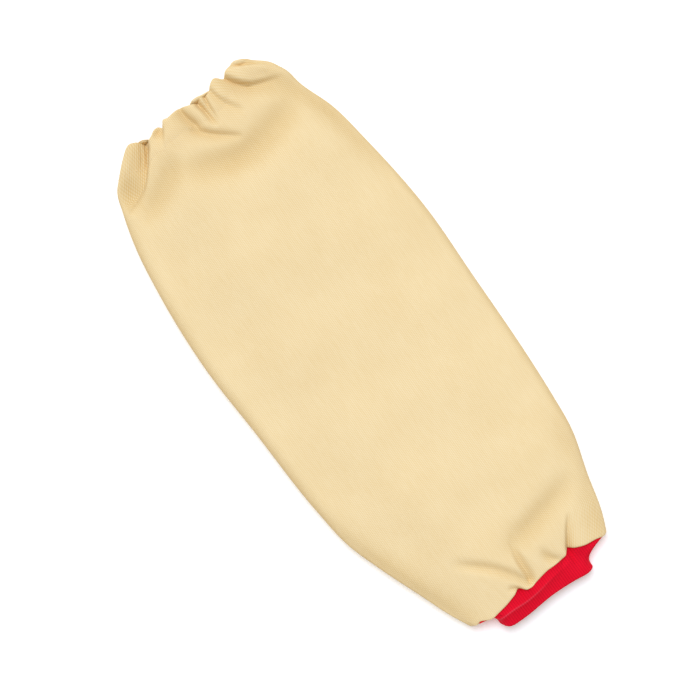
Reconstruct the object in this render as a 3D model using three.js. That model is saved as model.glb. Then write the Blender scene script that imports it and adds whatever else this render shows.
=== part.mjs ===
// Arm cover for work: a tube of cotton drill with a gathered hem for the upper arm and a rib-knit wrist cuff.
// It lies flat on the plane Z = 0 and is hollow from end to end. Millimetres, +Z up.
// +Y points to the upper arm, and X runs across the sleeve.
import * as THREE from "three";
import { ParametricGeometry } from "three/addons/geometries/ParametricGeometry.js";
import { mergeVertices } from "three/addons/utils/BufferGeometryUtils.js";

const { lerp, smoothstep } = THREE.MathUtils;

// Walls, the gap that neighbouring pieces keep, and how far inside the drill the cuff is tucked.
const DRILL_WALL = 1.2;
const HEM_WALL = 3;
const RIB_WALL = 2.2;
const GAP = 0.3;
const CUFF_CLEARANCE = 0.8;
const CUFF_TUCK = DRILL_WALL + CUFF_CLEARANCE;

// Places along the sleeve. The mouth's edge runs out a little towards the right.
const MOUTH_Y = 198.2;
const MOUTH_SLANT = 0.035;
const HEM_DEPTH = 14;
const SEAM_Y = -186;
const CUFF_EDGE_Y = -200;

// How far a crease of unit depth draws back the edge that it starts from.
const MOUTH_DRAW = 0.6;
const SEAM_DRAW = 0.9;

// Columns of facets over the top, round each side and underneath.
const TOP_COLUMNS = 40;
const SIDE_COLUMNS = 9;
const UNDER_COLUMNS = 30;
const COLUMNS = TOP_COLUMNS + UNDER_COLUMNS + 2 * SIDE_COLUMNS;

// Rows of facets along the drill: the first step in from each end, and how the steps grow to the middle.
const END_STEP = 4;
const STEP_GROWTH = 1.25;
const END_STEPS = 11;

// The share of the top's width over which the crown rises from each side.
const CROWN_RISE = 0.35;

// Sections of the drill from the wrist to the mouth: reach to the left and right of the centre line,
// height of the rounded sides, and rise of the top above them.
const SECTIONS = [
  { y: -187, left: 45.5, right: 58, side: 16, crown: 3 },
  { y: -172, left: 53.5, right: 64.3, side: 16.5, crown: 4.5 },
  { y: -150, left: 62, right: 70.4, side: 17, crown: 5.5 },
  { y: -118, left: 73.8, right: 80, side: 17, crown: 6 },
  { y: -95, left: 81, right: 82.6, side: 17, crown: 6 },
  { y: -66, left: 84.4, right: 84.7, side: 17, crown: 6 },
  { y: 0, left: 86.6, right: 87, side: 17, crown: 6 },
  { y: 50, left: 88.2, right: 88.4, side: 17, crown: 6.5 },
  { y: 110, left: 83.5, right: 83, side: 18, crown: 7 },
  { y: 140, left: 78.5, right: 78.3, side: 18, crown: 6.5 },
  { y: 164, left: 71, right: 69.8, side: 18, crown: 5 },
  { y: 178, left: 65, right: 67, side: 18, crown: 3 },
  { y: 188, left: 55, right: 60.5, side: 18, crown: 2 },
  { y: 198, left: 44, right: 49, side: 18, crown: 1.5 },
];

// Creases in the top, each a line of [x, y, depth] that runs in from a gathered edge or over the body,
// with the reach of its flank to the left and to the right of the way it runs.
const CREASES = [
  { name: "right roll", left: 3, right: 7, line: [[32, 198, 4], [40, 184, 4], [64, 174, 1.5]] },
  { name: "right gather", left: 3, right: 4, line: [[20.5, 197, 5], [24, 181.5, 4], [31.6, 170, 0]] },
  { name: "small gather", left: 2.5, right: 2.5, line: [[14, 197, 3.5], [17, 184, 0]] },
  { name: "middle gather", left: 2.8, right: 3, line: [[7.5, 197, 4.5], [12, 176.5, 0]] },
  { name: "long gather", left: 4, right: 4.5, line: [[-1.7, 197, 5], [0, 177.5, 4.5], [19, 159.6, 0]] },
  { name: "left gather", left: 3, right: 3, line: [[-16, 197, 4.5], [-25, 186, 3], [-30, 176, 0]] },
  { name: "left pleat", left: 2.5, right: 14, line: [[-29.5, 197, 6], [-47, 172, 5], [-73, 157, 3]] },
  { name: "left trough", left: 8, right: 6, line: [[-66, 152, 0], [-48, 161, 2.4], [-24, 174, 1.5]] },
  { name: "mouth trough", left: 9, right: 9, line: [[-26, 170, 0], [2, 152, 2.8], [30, 148, 2], [56, 155, 0]] },
  { name: "wrist gather", left: 4, right: 5, line: [[-0.5, -187, 3.2], [2, -172, 3], [6, -152, 0]] },
  { name: "slanting gather", left: 7, right: 6, line: [[-8.5, -187, 3.5], [-21, -152, 2], [-31, -143, 0]] },
  { name: "left wrist gather", left: 4, right: 4, line: [[-27, -187, 2], [-33, -168, 0]] },
  { name: "wrist nick", left: 3, right: 4, line: [[30.5, -180, 2], [16, -171.5, 0]] },
  { name: "wrist pleat", left: 4, right: 12, line: [[31, -187, 4.5], [46, -159, 3.5], [51, -149, 0]] },
  { name: "wrist trough", left: 9, right: 9, line: [[18, -161, 0], [30, -154, 2], [52, -144, 2], [63, -137, 0]] },
];

// Low waves of the underside where it is gathered at both ends.
const UNDER_WAVES = 6;
const UNDER_WAVE_HEIGHT = 1.6;
const UNDER_WAVE_REACH = 40;

// The cuff below its seam: reach to each side at the free edge, side height, how fast it draws in,
// and the ridge that it bends along, at a fraction of the way from the seam to the free edge.
const CUFF_LEFT = 29.5;
const CUFF_RIGHT = 38;
const CUFF_SIDE = 13;
const CUFF_CROWN = 0.5;
const CUFF_DRAW_IN = 3;
const CUFF_RIDGE = { at: 0.3, reach: 0.25, height: 2 };
const CUFF_ROWS = [0.15, 0.4, 0.75];
const CUFF_EDGE_ROUND = 1;

// Colours of the two cloths, taken in plain light.
const DRILL_COLOUR = "#eed6a6";
const RIB_COLOUR = "#dc1230";
const CLOTH_ROUGHNESS = 0.9;

const sizes = SECTIONS.map((row) => [row.left, row.right, row.side, row.crown]);
const outline = new THREE.CubicInterpolant(
  SECTIONS.map((row) => row.y),
  sizes.flat(),
  sizes[0].length,
);

// The drill's section at a place along the sleeve.
function sectionAt(y) {
  const [left, right, side, crown] = outline.evaluate(y);
  return { left, right, side, crown };
}

// A point of a section, an inset inside its outer face. The turn runs from the left end of the top
// to the right, round the right side, back underneath and up round the left side.
function sectionPoint(section, turn, inset) {
  const radius = section.side / 2;
  const leftCentre = radius - section.left;
  const rightCentre = section.right - radius;
  const column = turn * COLUMNS;
  const underStart = TOP_COLUMNS + SIDE_COLUMNS;
  const leftStart = underStart + UNDER_COLUMNS;
  if (column <= TOP_COLUMNS) {
    const across = column / TOP_COLUMNS;
    const rise = section.crown * smoothstep(Math.min(across, 1 - across), 0, CROWN_RISE);
    return { x: lerp(leftCentre, rightCentre, across), z: section.side + rise - inset, top: 1, wave: 0 };
  }
  if (column > underStart && column < leftStart) {
    const across = (column - underStart) / UNDER_COLUMNS;
    const wave = 0.5 - 0.5 * Math.cos(2 * Math.PI * UNDER_WAVES * across);
    return { x: lerp(rightCentre, leftCentre, across), z: inset, top: 0, wave };
  }
  const isRight = column <= underStart;
  const start = isRight ? TOP_COLUMNS : leftStart;
  const angle = Math.PI * ((isRight ? 0.5 : -0.5) - (column - start) / SIDE_COLUMNS);
  const centre = isRight ? rightCentre : leftCentre;
  return {
    x: centre + (radius - inset) * Math.cos(angle),
    z: radius + (radius - inset) * Math.sin(angle),
    top: smoothstep(Math.sin(angle), 0, 1),
    wave: 0,
  };
}

// The depth of one crease at a place on the top.
function depthOfCrease(crease, x, y) {
  let nearest = Infinity;
  let depth = 0;
  for (let i = 1; i < crease.line.length; i += 1) {
    const [startX, startY, startDepth] = crease.line[i - 1];
    const [endX, endY, endDepth] = crease.line[i];
    const runX = endX - startX;
    const runY = endY - startY;
    const along = ((x - startX) * runX + (y - startY) * runY) / (runX * runX + runY * runY);
    const share = THREE.MathUtils.clamp(along, 0, 1);
    const offX = x - startX - share * runX;
    const offY = y - startY - share * runY;
    const distance = Math.hypot(offX, offY);
    if (distance < nearest) {
      nearest = distance;
      const reach = runX * offY - runY * offX > 0 ? crease.left : crease.right;
      depth = lerp(startDepth, endDepth, share) * Math.exp(-((distance / reach) ** 2));
    }
  }
  return depth;
}

// Creases that meet join into one, without adding up.
function creaseDepth(x, y) {
  return Math.hypot(...CREASES.map((crease) => depthOfCrease(crease, x, y)));
}

// How strongly the underside waves at a place along the sleeve: full at the two gathered ends.
function gathering(y) {
  const fromEnd = Math.min(MOUTH_Y - y, y - SEAM_Y);
  return 1 - smoothstep(fromEnd, 0, UNDER_WAVE_REACH);
}

// A point of the drill, an inset inside its outer face.
function drillPoint(turn, y, inset) {
  const { x, z, top, wave } = sectionPoint(sectionAt(y), turn, inset);
  const lift = wave * UNDER_WAVE_HEIGHT * gathering(y);
  return new THREE.Vector3(x, y, z + lift - top * creaseDepth(x, y));
}

// Where a column of the drill ends at the mouth and at the wrist seam.
function mouthY(turn) {
  const { x, top } = sectionPoint(sectionAt(MOUTH_Y), turn, 0);
  return MOUTH_Y + MOUTH_SLANT * x - MOUTH_DRAW * top * creaseDepth(x, MOUTH_Y);
}

function seamY(turn) {
  const { x, top } = sectionPoint(sectionAt(SEAM_Y), turn, 0);
  return SEAM_Y + SEAM_DRAW * top * creaseDepth(x, SEAM_Y);
}

// A closed ring of wall, swept round the sleeve: each entry of the profile gives a point for a turn.
function ringGeometry(profile) {
  const place = (turn, share, target) => {
    const entry = profile[Math.round(share * profile.length) % profile.length];
    target.copy(entry(1 - turn));
  };
  const geometry = new ParametricGeometry(place, COLUMNS, profile.length);
  geometry.deleteAttribute("normal");
  geometry.deleteAttribute("uv");
  const merged = mergeVertices(geometry);
  merged.computeVertexNormals();
  return merged;
}

// The drill tube from just below the hem's stitching to the wrist seam, outside and then back inside.
function sleeveBody() {
  const steps = [0];
  for (let i = 0; i < END_STEPS; i += 1) steps.push(steps[i] + END_STEP * STEP_GROWTH ** i);
  const fromMouth = (step) => (turn) => mouthY(turn) - HEM_DEPTH - GAP - step;
  const fromSeam = (step) => (turn) => seamY(turn) + step;
  const rows = [...steps.map(fromMouth), ...steps.toReversed().map(fromSeam)];
  const wall = (inset) => (row) => (turn) => drillPoint(turn, row(turn), inset);
  return ringGeometry([...rows.map(wall(0)), ...rows.toReversed().map(wall(DRILL_WALL))]);
}

// The turned hem: two layers of drill round the elastic, with a rounded edge at the mouth.
function upperHem() {
  const round = HEM_WALL / 2;
  const profile = [
    { back: 0, inset: round },
    { back: round, inset: 0 },
    { back: HEM_DEPTH / 2, inset: 0 },
    { back: HEM_DEPTH, inset: 0 },
    { back: HEM_DEPTH, inset: HEM_WALL },
    { back: HEM_DEPTH / 2, inset: HEM_WALL },
    { back: round, inset: HEM_WALL },
  ];
  return ringGeometry(profile.map((row) => (turn) => drillPoint(turn, mouthY(turn) - row.back, row.inset)));
}

// A point of the cuff below the seam, where it draws in from the drill's width to its own.
function cuffPoint(turn, share, inset) {
  const seam = sectionAt(seamY(turn));
  const drawn = 1 - (1 - share) ** CUFF_DRAW_IN;
  const ridge = CUFF_RIDGE.height * Math.exp(-(((share - CUFF_RIDGE.at) / CUFF_RIDGE.reach) ** 2));
  const section = {
    left: lerp(seam.left - CUFF_TUCK, CUFF_LEFT, drawn),
    right: lerp(seam.right - CUFF_TUCK, CUFF_RIGHT, drawn),
    side: lerp(seam.side - 2 * CUFF_TUCK, CUFF_SIDE, drawn),
    crown: lerp(seam.crown, CUFF_CROWN, drawn) + ridge * drawn,
  };
  const y = lerp(seamY(turn), CUFF_EDGE_Y, share);
  const { x, z, top, wave } = sectionPoint(section, turn, inset);
  const lift = wave * UNDER_WAVE_HEIGHT + CUFF_TUCK;
  const press = top * creaseDepth(x, seamY(turn));
  return new THREE.Vector3(x, y, z + (lift - press) * (1 - drawn));
}

// The doubled rib knit: tucked up inside the drill, out below the seam and round its free edge.
function wristCuff() {
  const inside = (inset) => (turn) => drillPoint(turn, seamY(turn) + END_STEP, inset);
  const atSeam = (inset) => (turn) => drillPoint(turn, seamY(turn), inset);
  const below = (inset) => (share) => (turn) => cuffPoint(turn, share, inset);
  const edgeShare = 1 - CUFF_EDGE_ROUND / (SEAM_Y - CUFF_EDGE_Y);
  return ringGeometry([
    inside(CUFF_TUCK),
    atSeam(CUFF_TUCK),
    ...CUFF_ROWS.map(below(0)),
    below(0)(edgeShare),
    below(RIB_WALL / 2)(1),
    below(RIB_WALL)(edgeShare),
    ...CUFF_ROWS.toReversed().map(below(RIB_WALL)),
    atSeam(CUFF_TUCK + RIB_WALL),
    inside(CUFF_TUCK + RIB_WALL),
  ]);
}

// A named sub-part with its own matt textile finish.
function piece(name, geometry, color) {
  const cloth = new THREE.MeshStandardMaterial({ color, roughness: CLOTH_ROUGHNESS, metalness: 0 });
  const mesh = new THREE.Mesh(geometry, cloth);
  mesh.name = name;
  return mesh;
}

const armCover = new THREE.Group();
armCover.name = "arm_cover";
armCover.add(
  piece("sleeve_body", sleeveBody(), DRILL_COLOUR),
  piece("upper_hem", upperHem(), DRILL_COLOUR),
  piece("wrist_cuff", wristCuff(), RIB_COLOUR),
);

export default armCover;
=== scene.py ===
"""An arm cover of cotton drill with a gathered hem and a rib-knit cuff, lying on a pale floor.

Everything is in metres, in the frame of the solids: +Y to the upper arm, X across, Z up and
the floor at Z = 0.
"""

import logging
import math
from dataclasses import dataclass
from enum import Enum
from typing import NamedTuple

import bmesh
import bpy
import numpy as np
from mathutils import Matrix, Vector


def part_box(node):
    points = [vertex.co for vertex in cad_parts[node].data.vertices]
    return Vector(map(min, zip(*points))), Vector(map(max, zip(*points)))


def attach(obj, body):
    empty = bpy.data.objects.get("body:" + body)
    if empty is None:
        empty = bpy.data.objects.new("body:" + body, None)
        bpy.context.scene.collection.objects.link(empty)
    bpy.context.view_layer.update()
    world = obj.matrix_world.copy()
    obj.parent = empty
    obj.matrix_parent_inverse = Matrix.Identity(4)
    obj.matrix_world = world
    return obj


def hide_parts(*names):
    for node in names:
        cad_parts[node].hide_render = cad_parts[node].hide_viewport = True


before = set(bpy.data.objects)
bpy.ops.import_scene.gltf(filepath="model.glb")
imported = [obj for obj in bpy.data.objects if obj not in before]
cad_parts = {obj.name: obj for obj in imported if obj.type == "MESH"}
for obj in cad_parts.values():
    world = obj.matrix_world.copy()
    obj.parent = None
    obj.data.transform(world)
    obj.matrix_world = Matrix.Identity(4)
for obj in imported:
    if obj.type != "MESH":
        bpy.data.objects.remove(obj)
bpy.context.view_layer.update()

BODY = "root"
CLOTH_UV = "cloth"
# Mark of painted light: painted shade in the drill's creases and on its steep sides, and a painted
# highlight along the cuff's bend.
PAINTED_LIGHT = "fold"
GATHER = "gather"
MILLIMETRE = 0.001
WELD_DISTANCE = 1e-6
HALF_GRID = 0.5
SIDE_STEPS = 40
TOP_STEPS = 160
FLOOR_STEPS = 60
WHITE = (1.0, 1.0, 1.0)
Colour = tuple[float, float, float]
Sizes = tuple[float, ...]
Socket = bpy.types.NodeSocket
log = logging.getLogger("arm_cover")


def mm(*sizes: float) -> Sizes:
    """Return sizes given in millimetres as metres."""
    return tuple(size * MILLIMETRE for size in sizes)


def hermite(places: np.ndarray, values: np.ndarray, wanted: np.ndarray) -> np.ndarray:
    """Return values at the wanted places on a smooth cubic curve.

    Args:
        places: Places of the known values, rising.
        values: The known values.
        wanted: Places to read, held inside the known range.

    Returns:
        One value for each wanted place.
    """
    wanted = np.clip(wanted, places[0], places[-1])
    slopes = np.gradient(values, places)
    index = np.clip(np.searchsorted(places, wanted) - 1, 0, len(places) - 2)
    step = places[index + 1] - places[index]
    t = (wanted - places[index]) / step
    rise = values[index + 1] - values[index]
    start = slopes[index] * step - rise
    end = rise - slopes[index + 1] * step
    return values[index] + t * rise + t * (1.0 - t) * ((1.0 - t) * start + t * end)


def ease(value: np.ndarray, low: float, high: float) -> np.ndarray:
    """Return a smooth step from 0 at low to 1 at high."""
    t = np.clip((value - low) / (high - low), 0.0, 1.0)
    return t * t * (3.0 - 2.0 * t)


class Fold(Enum):
    """How a crease's flanks fall away from its bottom: crisp for a gather, soft for a trough."""

    CRISP = 1.25
    SOFT = 2.0


class Blend(Enum):
    """How two colours are joined: one laid over the other, or one tinting the other."""

    MIX = "MIX"
    MULTIPLY = "MULTIPLY"


class Section(NamedTuple):
    """One cross-section of the lying sleeve: its reach to each side, side height and crown."""

    along: float
    left: float
    right: float
    side: float
    crown: float


@dataclass(frozen=True)
class EdgeLine:
    """An edge across the sleeve, as a curve through a few (x, y) points."""

    points: tuple[Sizes, ...]

    @classmethod
    def in_mm(cls, *points: Sizes) -> "EdgeLine":
        """Return the edge through points that are given in millimetres."""
        return cls(tuple(mm(*point) for point in points))

    def at(self, x: np.ndarray) -> np.ndarray:
        """Return the edge's place along the sleeve at each x."""
        table = np.array(self.points)
        return hermite(table[:, 0], table[:, 1], x)


@dataclass(frozen=True)
class Crease:
    """A crease in the top, or a lift of the lower layer: a line of (x, y, depth) and two flanks.

    Attributes:
        name: What the crease is on the sleeve.
        left: Reach of the flank on the left of the way that the line runs.
        right: Reach of the flank on the right.
        fold: How its flanks fall away.
        line: The few points that the crease passes through.
    """

    name: str
    left: float
    right: float
    fold: Fold
    line: tuple[Sizes, ...]

    STEPS = 16

    @classmethod
    def in_mm(cls, name: str, flanks: Sizes, fold: Fold, *line: Sizes) -> "Crease":
        """Return the crease whose flanks and points are given in millimetres."""
        return cls(name, *mm(*flanks), fold, tuple(mm(*point) for point in line))

    def smooth_line(self) -> np.ndarray:
        """Draw the crease's line as a smooth curve of short steps.

        Returns:
            The curve's points, each with its depth.
        """
        points = np.array(self.line)
        chord = np.hypot(*np.diff(points[:, :2], axis=0).T)
        places = np.concatenate([[0.0], np.cumsum(chord)])
        wanted = np.linspace(0.0, places[-1], self.STEPS)
        return np.stack([hermite(places, points[:, axis], wanted) for axis in range(3)], axis=1)

    def nearest(self, x: np.ndarray, y: np.ndarray) -> tuple[np.ndarray, np.ndarray]:
        """Return how far each place is from the line, and how deep the line is there.

        Args:
            x: Places across the sleeve.
            y: Places along the sleeve.

        Returns:
            The distances, less than zero on the right of the line, and the depths.
        """
        curve = self.smooth_line()
        distance = np.full(x.shape, np.inf)
        bottom = np.zeros(x.shape)
        for start, end in zip(curve[:-1], curve[1:]):
            run = end - start
            length = run[0] ** 2 + run[1] ** 2
            share = np.clip(((x - start[0]) * run[0] + (y - start[1]) * run[1]) / length, 0.0, 1.0)
            off_x = x - start[0] - share * run[0]
            off_y = y - start[1] - share * run[1]
            side = np.where(run[0] * off_y - run[1] * off_x > 0.0, 1.0, -1.0)
            closer = np.hypot(off_x, off_y) < np.abs(distance)
            distance = np.where(closer, side * np.hypot(off_x, off_y), distance)
            bottom = np.where(closer, start[2] + share * run[2], bottom)
        return distance, bottom

    def depth(self, x: np.ndarray, y: np.ndarray) -> np.ndarray:
        """Return how deep the crease presses the cloth at each place.

        Args:
            x: Places across the sleeve.
            y: Places along the sleeve.

        Returns:
            The depths, zero far from the line.
        """
        distance, bottom = self.nearest(x, y)
        reach = np.where(distance > 0.0, self.left, self.right)
        return np.maximum(bottom, 0.0) * np.exp(-((np.abs(distance) / reach) ** self.fold.value))


@dataclass(frozen=True)
class Flap:
    """The cloth on the right of a pleat, whose yarns run along the pleat.

    Attributes:
        pleat: The crease that bounds the flap.
        corner: Place on the pleat where the flap's yarns meet those of the sleeve.
        slant: Angle of the flap's yarns to the sleeve's, in degrees.
        turn: Places along the sleeve where the yarns start to lean and lean fully.
    """

    pleat: Crease
    corner: Sizes
    slant: float
    turn: Sizes

    def lean(self, across: np.ndarray, points: np.ndarray) -> np.ndarray:
        """Return the places across the yarns once those on the flap lean.

        Args:
            across: Places across the yarns without the flap.
            points: The cloth's points.

        Returns:
            The places across the yarns.
        """
        x, y = points[..., 0], points[..., 1]
        angle = math.radians(self.slant)
        leaning = (across - self.corner[0]) * math.cos(angle) - (y - self.corner[1]) * math.sin(angle)
        share = ease(y, *self.turn) * (self.pleat.nearest(x, y)[0] < 0.0)
        return across + (self.corner[0] + leaning - across) * share


class SectionLoop(NamedTuple):
    """Points round one section.

    Each has its outward direction, how much it belongs to the top, and its way round from the
    middle of the top.
    """

    x: np.ndarray
    z: np.ndarray
    out_x: np.ndarray
    out_z: np.ndarray
    top: np.ndarray
    around: np.ndarray


def section_loop(section: Section, turns: np.ndarray, crown_rise: float = 0.35) -> SectionLoop:
    """Return the points of a flattened section, from the middle of its underside round to the left.

    Args:
        section: The section's sizes.
        turns: Shares of the way round, from 0 to 1.
        crown_rise: Share of the top's width over which its crown rises from each side.

    Returns:
        The points, their outward directions, how much each belongs to the top and its way round.
    """
    radius = section.side / 2.0
    left, right = radius - section.left, section.right - radius
    middle = (left + right) / 2.0
    angle = np.linspace(-math.pi / 2.0, math.pi / 2.0, SIDE_STEPS)
    across = np.linspace(0.0, 1.0, TOP_STEPS)
    level = np.zeros(FLOOR_STEPS)
    rise = section.crown * ease(np.minimum(across, 1.0 - across), 0.0, crown_rise)
    x = np.concatenate([
        np.linspace(middle, left, FLOOR_STEPS), left - radius * np.cos(angle[1:]),
        (left + (right - left) * across)[1:-1],
        right + radius * np.cos(angle[:0:-1]), np.linspace(right, middle, FLOOR_STEPS),
    ])
    z = np.concatenate([
        level, radius + radius * np.sin(angle[1:]),
        (section.side + rise)[1:-1],
        radius + radius * np.sin(angle[:0:-1]), level,
    ])
    on_side = ease(np.sin(angle), 0.0, 1.0)
    top = np.concatenate([level, on_side[1:], np.ones(TOP_STEPS - 2), on_side[:0:-1], level])
    walked = np.concatenate([[0.0], np.cumsum(np.hypot(np.diff(x), np.diff(z)))])
    wanted = turns * walked[-1]
    curves = (x, z, -np.gradient(z, walked), np.gradient(x, walked), top)
    read = (np.interp(wanted, walked, curve) for curve in curves)
    return SectionLoop(*read, middle + wanted - walked[-1] / 2.0)


@dataclass(frozen=True)
class SleeveForm:
    """The shape in which the sleeve lies: its sections, creases and gathered ends.

    Attributes:
        sections: Sections of the drill from the wrist to the mouth.
        creases: Creases in the top, as they lie at both gathered ends.
        lifts: Places where the lower layer stands up behind a notch.
        flaps: Flaps beside a pleat, on which the yarns lean.
        mouth_y: Mean place of the mouth's edge.
        seam_y: Mean place of the wrist seam.
        mouth_top: The mouth's edge on the top.
        mouth_under: The mouth's edge on the underside.
        seam_top: The wrist seam on the top.
        seam_under: The wrist seam on the underside.
        draw_reach: How far from an end its drawn edge still shifts the cloth.
        ring_gathers: Small gathers round each end, mostly on the sides and the underside.
        ring_seeds: Seeds of the small gathers at the mouth and at the seam.
        ring_stray: How far a small gather strays from its even place, as a share of the spacing.
        ring_depth: Depth of the small gathers.
        depth_shares: Least and most share of that depth.
        ring_reach: How far the small gathers run in from an end.
        reach_shares: Least and most share of that reach.
        ring_widths: Least and most width of a small gather, as a share of the way round.
        ring_fade: How fast a small gather fades along its reach.
        ring_on_top: Share of the small gathers that is left on the top.
        swell: Height of the long, low waves of the top.
        swell_seed: Seed of those waves.
        swell_count: Number of those waves.
        swell_lengths: Least and most length of a wave.
        swell_phase: Most phase of a wave.
        shade_depth: Depth at which a crease's painted shade is already nearly full.
        gather_from: Distances from the mouth where the drawn-in cloth shows its weave most and no more.
        gather_share: How much more it shows there, where 1 is as much as deep in a fold.
    """

    sections: tuple[Section, ...]
    creases: tuple[Crease, ...]
    lifts: tuple[Crease, ...]
    flaps: tuple[Flap, ...]
    mouth_y: float
    seam_y: float
    mouth_top: EdgeLine
    mouth_under: EdgeLine
    seam_top: EdgeLine
    seam_under: EdgeLine
    draw_reach: float = 0.05
    ring_gathers: int = 26
    ring_seeds: tuple[int, int] = (3, 8)
    ring_stray: float = 0.3
    ring_depth: float = 0.0013
    depth_shares: Sizes = (0.4, 1.3)
    ring_reach: float = 0.035
    reach_shares: Sizes = (0.5, 1.5)
    ring_widths: Sizes = (0.006, 0.012)
    ring_fade: float = 1.5
    ring_on_top: float = 0.15
    swell: float = 0.0003
    swell_seed: int = 21
    swell_count: int = 7
    swell_lengths: Sizes = (0.05, 0.11)
    swell_phase: float = 6.3
    shade_depth: float = 0.004
    gather_from: Sizes = mm(14, 48)
    gather_share: float = 0.4

    def section_at(self, along: float) -> Section:
        """Return the section at a place along the sleeve.

        Args:
            along: The place.

        Returns:
            The section.
        """
        table = np.array(self.sections)
        wanted = np.array([along])
        return Section(along, *(float(hermite(table[:, 0], table[:, i], wanted)[0]) for i in range(1, 5)))

    def loops(self, turns: np.ndarray, places: np.ndarray) -> list[SectionLoop]:
        """Return the points round the section at each place along the sleeve."""
        return [section_loop(self.section_at(along), turns) for along in places]

    def press(self, x: np.ndarray, y: np.ndarray) -> np.ndarray:
        """Return the joint depth of all creases, which meet without adding up."""
        return np.sqrt(sum(crease.depth(x, y) ** 2 for crease in self.creases))

    def raised(self, x: np.ndarray, y: np.ndarray) -> np.ndarray:
        """Return how far the lower layer stands up."""
        return np.maximum.reduce([lift.depth(x, y) for lift in self.lifts])

    def edge_shift(self, turns: np.ndarray, mean: float, top: EdgeLine, under: EdgeLine) -> np.ndarray:
        """Return how far an end's edge lies from its mean place.

        Args:
            turns: Shares of the way round.
            mean: Mean place of the edge along the sleeve.
            top: The edge on the top.
            under: The edge on the underside.

        Returns:
            One shift for each turn.
        """
        loop = section_loop(self.section_at(mean), turns)
        edge = under.at(loop.x)
        return edge + (top.at(loop.x) - edge) * loop.top - mean

    def mouth_edge(self, turns: np.ndarray) -> np.ndarray:
        """Return the shift of the mouth's edge from its mean place at each turn."""
        return self.edge_shift(turns, self.mouth_y, self.mouth_top, self.mouth_under)

    def seam_edge(self, turns: np.ndarray) -> np.ndarray:
        """Return the shift of the wrist seam from its mean place at each turn."""
        return self.edge_shift(turns, self.seam_y, self.seam_top, self.seam_under)

    def small_gathers(self, turns: np.ndarray, along: float) -> np.ndarray:
        """Return the depth of the small gathers round the sleeve at a place along it.

        Args:
            turns: Shares of the way round.
            along: The place along the sleeve.

        Returns:
            One depth for each turn.
        """
        depth = np.zeros_like(turns)
        for end_y, seed in zip((self.mouth_y, self.seam_y), self.ring_seeds):
            chance = np.random.default_rng(seed)
            for number in range(self.ring_gathers):
                place = (number + chance.uniform(-self.ring_stray, self.ring_stray)) / self.ring_gathers
                depth_here = self.ring_depth * chance.uniform(*self.depth_shares)
                reach = self.ring_reach * chance.uniform(*self.reach_shares)
                width = chance.uniform(*self.ring_widths)
                apart = np.abs((turns - place + 0.5) % 1.0 - 0.5)
                fade = max(0.0, 1.0 - abs(along - end_y) / reach) ** self.ring_fade
                depth += depth_here * fade * np.exp(-((apart / width) ** Fold.CRISP.value))
        return depth

    def waves(self, x: np.ndarray, y: np.ndarray) -> np.ndarray:
        """Return the height of the long, low waves of the top.

        Args:
            x: Places across the sleeve.
            y: Places along the sleeve.

        Returns:
            One height for each place.
        """
        chance = np.random.default_rng(self.swell_seed)
        height = np.zeros_like(x)
        for _ in range(self.swell_count):
            turn = chance.uniform(0.0, math.pi)
            length = chance.uniform(*self.swell_lengths)
            phase = chance.uniform(0.0, self.swell_phase)
            height += np.sin((x * math.cos(turn) + y * math.sin(turn)) * 2.0 * math.pi / length + phase)
        return self.swell * height

    def rows(self, turns: np.ndarray, places: np.ndarray, insets: np.ndarray) -> np.ndarray:
        """Return rows of points on the drill.

        Args:
            turns: Shares of the way round.
            places: Mean place along the sleeve of each row.
            insets: How far inside the outer face each row lies.

        Returns:
            An array of rows by turns by three.
        """
        mouth, seam = self.mouth_edge(turns), self.seam_edge(turns)
        rows = []
        for along, inset in zip(places, insets):
            section = self.section_at(along)
            loop = section_loop(section, turns)
            to_mouth = 1.0 - ease(np.array(self.mouth_y - along), 0.0, self.draw_reach)
            to_seam = 1.0 - ease(np.array(along - self.seam_y), 0.0, self.draw_reach)
            y = along + mouth * to_mouth + seam * to_seam
            gathered = 1.0 - (1.0 - self.ring_on_top) * loop.top
            inward = inset + self.small_gathers(turns, along) * gathered
            x = loop.x - loop.out_x * inward
            lift = self.waves(loop.x, y) - self.press(loop.x, y)
            under = np.clip(1.0 - loop.z / section.side, 0.0, 1.0)
            z = loop.z - loop.out_z * inward + loop.top * lift + under * self.raised(loop.x, y)
            rows.append(np.stack([x, y, np.maximum(z, 0.0)], axis=1))
        return np.array(rows)

    def yarn_places(self, turns: np.ndarray, places: np.ndarray, points: np.ndarray) -> np.ndarray:
        """Return where the cloth's points lie across its yarns, which keep their distance apart.

        Args:
            turns: Shares of the way round.
            places: Mean place along the sleeve of each row.
            points: Rows by turns by three points of the cloth.

        Returns:
            Rows by turns places across the yarns, in metres.
        """
        across = np.array([loop.around for loop in self.loops(turns, places)])
        for flap in self.flaps:
            across = flap.lean(across, points)
        return across

    def painted_shade_share(self, turns: np.ndarray, places: np.ndarray, points: np.ndarray) -> np.ndarray:
        """Return how much painted shade each point takes, from 0 to 1, for lying down in a crease of the
        top or on a steep side.

        Args:
            turns: Shares of the way round.
            places: Mean place along the sleeve of each row.
            points: Rows by turns by three points of the cloth.

        Returns:
            One value for each point.
        """
        loops = self.loops(turns, places)
        pressed = self.press(points[..., 0], points[..., 1])
        # Painted shade: darker the deeper a crease presses the top, and darker on the steep sides.
        crease_shade = np.array([loop.top for loop in loops]) * (1.0 - np.exp(-pressed / self.shade_depth))
        return np.maximum(crease_shade, np.array([1.0 - np.abs(loop.out_z) for loop in loops]))

    def gathered(self, points: np.ndarray) -> np.ndarray:
        """Return how much more the cloth shows its weave where the elastic draws it together."""
        return self.gather_share * (1.0 - ease(self.mouth_y - points[..., 1], *self.gather_from))


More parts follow.
